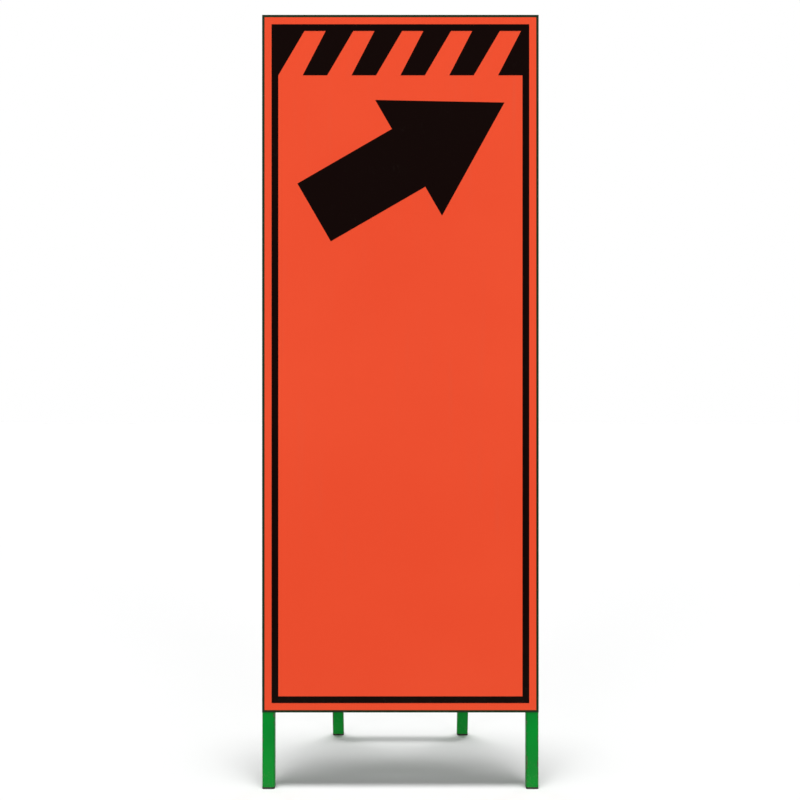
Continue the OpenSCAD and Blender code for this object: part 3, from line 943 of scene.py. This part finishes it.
def set_camera():
    """Looks straight at the face from the place of the photograph."""
    camera = bpy.data.cameras.new("front_view")
    camera.sensor_width = sensor_width
    camera.lens = sensor_width * view_distance / view_width
    camera.clip_end = view_reach
    eye = show("front_view", camera)
    eye.location = (view_side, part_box("orange_sheeting")[0].y - view_distance, view_height)
    eye.rotation_euler = (math.radians(90), 0, 0)
    bpy.context.scene.camera = eye


def sun(name, azimuth, elevation, strength, spread):
    """A soft distant light; azimuth 0 comes from behind the camera and 180 from behind the sign."""
    lamp = bpy.data.lights.new(name, "SUN")
    lamp.energy = strength * math.pi
    lamp.angle = math.radians(spread)
    turn = math.radians(azimuth)
    rise = math.radians(elevation)
    flat = math.cos(rise)
    towards = Vector((math.sin(turn) * flat, -math.cos(turn) * flat, math.sin(rise)))
    light = show(name, lamp)
    light.rotation_euler = towards.to_track_quat("Z", "Y").to_euler()


def choose_by_ray(tree, seen, lighting, output):
    """Uses one shader for what is seen, also in a reflection or through glass, and one for light."""
    path = put(tree, "ShaderNodeLightPath").outputs
    mirrored = either(tree, path["Is Glossy Ray"], path["Is Transmission Ray"])
    choice = put(tree, "ShaderNodeMixShader")
    feed(tree, choice.inputs[0], either(tree, path["Is Camera Ray"], mirrored))
    feed(tree, choice.inputs[1], lighting)
    feed(tree, choice.inputs[2], seen)
    feed(tree, put(tree, output).inputs["Surface"], choice.outputs["Shader"])


def hang_lights():
    """A high light throws the shadow under the sign; four low ones fill its front and back."""
    sun("high_light", azimuth=0, elevation=81.2, strength=0.87, spread=17)
    for side in (-1, 1):
        sun("front_light", azimuth=side * 22, elevation=5, strength=0.395, spread=24)
        sun("back_light", azimuth=180 + side * 35, elevation=6, strength=0.24, spread=30)


def fill_air():
    """A white world that lights the object weakly."""
    world = bpy.data.worlds.new("studio_air")
    bpy.context.scene.world = world
    tree = emptied_tree(world)
    backdrop = put_and_feed(tree, "ShaderNodeBackground", studio_white)
    air = put_and_feed(tree, "ShaderNodeBackground", studio_white)
    feed(tree, air.inputs["Strength"], air_strength)
    choose_by_ray(tree, backdrop.outputs["Background"], air.outputs["Background"],
                  "ShaderNodeOutputWorld")


def lay_floor():
    """A plain pale floor that throws back less light than it shows, to keep the object's contrast."""
    material = bpy.data.materials.new("studio_floor")
    tree = emptied_tree(material)
    pale = put_and_feed(tree, "ShaderNodeBsdfDiffuse", floor_white)
    dim = put_and_feed(tree, "ShaderNodeBsdfDiffuse", floor_dim)
    choose_by_ray(tree, pale.outputs["BSDF"], dim.outputs["BSDF"], "ShaderNodeOutputMaterial")
    mesh = bpy.data.meshes.new("studio_floor")
    corners = [(x * floor_half, y * floor_half, 0) for x, y in ((-1, -1), (1, -1), (1, 1), (-1, 1))]
    mesh.from_pydata(corners, [], [(0, 1, 2, 3)])
    mesh.materials.append(material)
    floor = show("studio_floor", mesh)


with open("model.json") as file:
    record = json.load(file)
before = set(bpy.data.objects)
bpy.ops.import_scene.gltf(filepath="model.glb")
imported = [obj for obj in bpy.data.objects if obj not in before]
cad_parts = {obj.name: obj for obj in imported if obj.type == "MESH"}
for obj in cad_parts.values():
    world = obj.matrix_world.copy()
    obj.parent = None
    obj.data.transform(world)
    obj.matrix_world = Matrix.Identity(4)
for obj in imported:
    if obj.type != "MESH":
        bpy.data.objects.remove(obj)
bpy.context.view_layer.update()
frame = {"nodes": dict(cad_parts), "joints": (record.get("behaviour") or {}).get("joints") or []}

half_tube = (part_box("left_post")[1].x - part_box("left_post")[0].x) / 2
pivot = Vector(frame["joints"][0]["pos_m"])
lean = Euler((math.radians(frame["joints"][0]["range_deg"][1]), 0, 0))

bpy.context.scene.view_settings.view_transform = "Standard"
set_camera()
hang_lights()
fill_air()
lay_floor()
build_groups()
zinc = zinc_finish()
dress_tubes()
dress_parts(zinc)
weld_frames()
thread_bolts(zinc)
